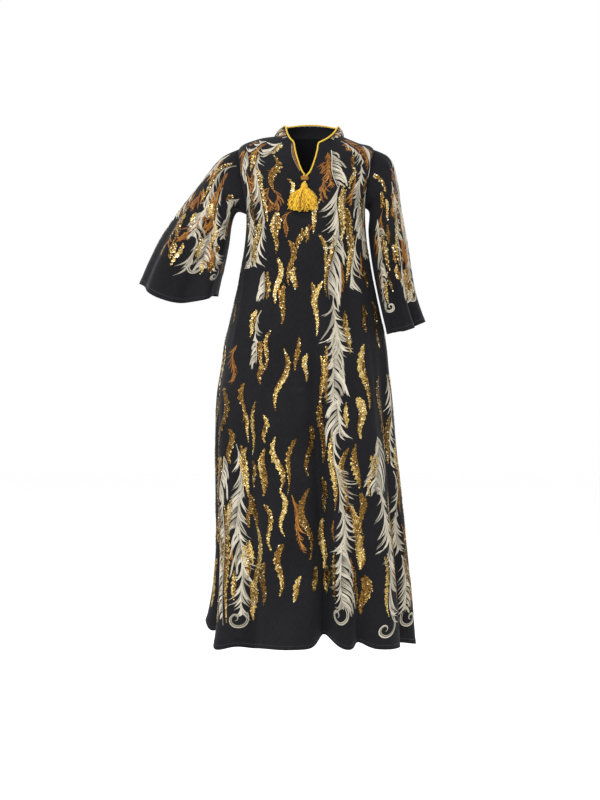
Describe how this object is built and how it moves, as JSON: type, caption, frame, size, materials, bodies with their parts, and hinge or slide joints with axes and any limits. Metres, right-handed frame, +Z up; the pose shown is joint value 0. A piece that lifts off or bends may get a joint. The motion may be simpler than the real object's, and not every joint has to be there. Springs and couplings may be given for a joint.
{
  "type": "sequin kaftan",
  "caption": "Long loose kaftan as worn: flared skirt in deep folds, wide bell sleeves, stand collar, neck slit edged with cord, and a hanging tassel.",
  "frame": {"origin": "middle of the neck base, level with the shoulder seams, where the shoulders carry the garment", "axes": "+Z up the wearer, -Y to the front, +X to the wearer's left"},
  "size_m": [0.71, 0.3699, 1.3055],
  "materials": {
    "crepe": "matte black crepe with ivory embroidery and gold and copper sequins",
    "collar": "black crepe closely embroidered in ivory and brown",
    "cord": "twisted golden yellow cord",
    "bronze": "copper brown wound thread",
    "gilt": "gilt bead",
    "thread": "mustard yellow yarn"
  },
  "bodies": {
    "root": {"front_panel": "crepe", "back_panel": "crepe", "sleeve_right": "crepe", "sleeve_left": "crepe", "collar": "collar", "neck_cord": "cord", "slit_facing": "collar", "tassel_knot": "bronze", "tassel_bead": "gilt", "tassel": "thread"}
  },
  "joints": []
}
